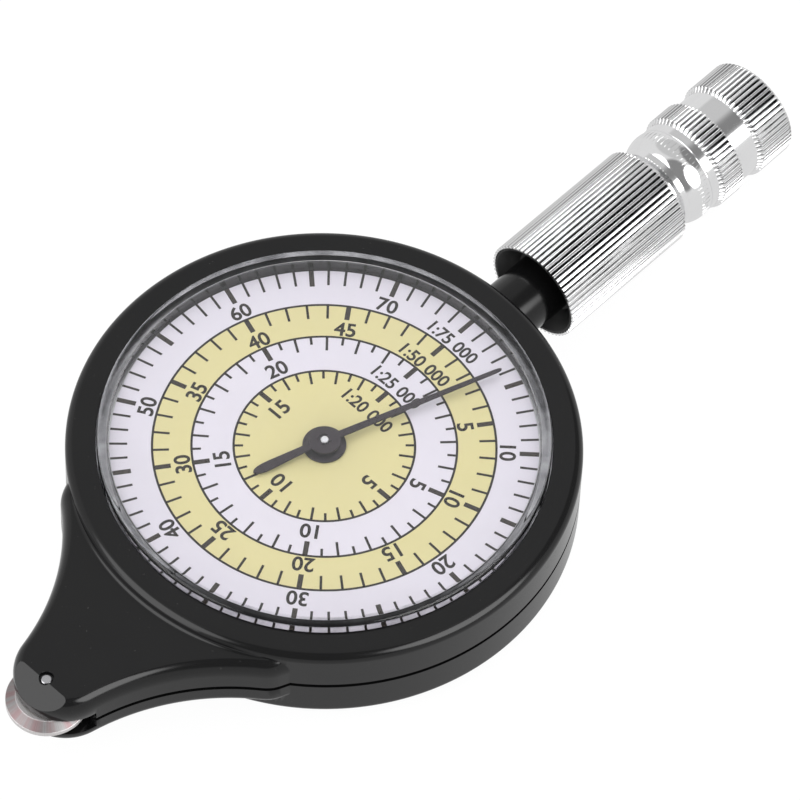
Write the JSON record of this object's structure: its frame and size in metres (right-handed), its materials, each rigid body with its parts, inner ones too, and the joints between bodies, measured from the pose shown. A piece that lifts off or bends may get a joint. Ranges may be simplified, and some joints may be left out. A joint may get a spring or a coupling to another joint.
{
  "type": "opisometer map measurer",
  "caption": "Round two-faced map measurer with a measuring wheel in a beak, geared pointers under domed crystals and a turned swivel grip.",
  "frame": {"origin": "centre of the rear crystal's outer face, on the axis of the pointers' arbor", "axes": "+Z out of the front dial, +Y along the grip, -Y toward the measuring wheel"},
  "size_m": [0.05, 0.1034, 0.0116],
  "materials": {
    "case_black": "gloss",
    "crystal_clear": "polished",
    "dial_print": "printed satin",
    "movement_nickel": "nickel plated, satin",
    "movement_brass": "satin",
    "movement_steel": "satin",
    "wheel_steel": "polished",
    "pointer_gunmetal": "gunmetal",
    "stem_black": "gloss",
    "grip_chrome": "polished, serrated"
  },
  "bodies": {
    "case": {"front_shell": "case_black", "rear_shell": "case_black", "front_crystal": "crystal_clear", "rear_crystal": "crystal_clear", "front_dial": "dial_print", "rear_dial": "dial_print", "front_plate": "movement_nickel", "rear_plate": "movement_nickel", "plate_pillars": "movement_brass", "front_screws": "movement_steel", "rear_screws": "movement_steel", "front_bush": "movement_brass", "rear_bush": "movement_brass", "wheel_axle": "movement_steel", "idler_pin": "movement_steel", "first_pin": "movement_steel", "second_pin": "movement_steel", "handle_stem": "stem_black", "stem_clip": "movement_steel"},
    "hands": {"centre_arbor": "movement_steel", "centre_gear": "movement_brass", "front_pointer": "pointer_gunmetal", "rear_pointer": "pointer_gunmetal"},
    "wheel": {"measuring_wheel": "wheel_steel", "wheel_pinion": "movement_brass"},
    "idler": {"idler_gear": "movement_brass"},
    "first_wheel": {"first_gear": "movement_brass"},
    "second_wheel": {"second_gear": "movement_brass"},
    "grip": {"grip_bush": "stem_black", "handle_grip": "grip_chrome"}
  },
  "joints": [
    {"name": "hands_spin", "type": "hinge", "parent": "case", "child": "hands", "pos_m": [0, 0, 0.0058], "axis": [0, 0, 1], "continuous": true},
    {"name": "wheel_spin", "type": "hinge", "parent": "case", "child": "wheel", "pos_m": [0, -0.0373, 0.0058], "axis": [0, 0, 1], "continuous": true},
    {"name": "idler_spin", "type": "hinge", "parent": "case", "child": "idler", "pos_m": [0, -0.03085, 0.0058], "axis": [0, 0, 1], "continuous": true},
    {"name": "first_gear_spin", "type": "hinge", "parent": "case", "child": "first_wheel", "pos_m": [0, -0.0214, 0.0058], "axis": [0, 0, 1], "continuous": true},
    {"name": "second_gear_spin", "type": "hinge", "parent": "case", "child": "second_wheel", "pos_m": [0, -0.0114, 0.0058], "axis": [0, 0, 1], "continuous": true},
    {"name": "grip_swivel", "type": "hinge", "parent": "case", "child": "grip", "pos_m": [0, 0.035, 0.0058], "axis": [0, 1, 0], "continuous": true}
  ],
  "couplings": [
    {"joint": "idler_spin", "follows": "wheel_spin", "ratio": -0.3871},
    {"joint": "first_gear_spin", "follows": "wheel_spin", "ratio": 0.375},
    {"joint": "second_gear_spin", "follows": "wheel_spin", "ratio": -0.09375},
    {"joint": "hands_spin", "follows": "wheel_spin", "ratio": 0.025}
  ]
}
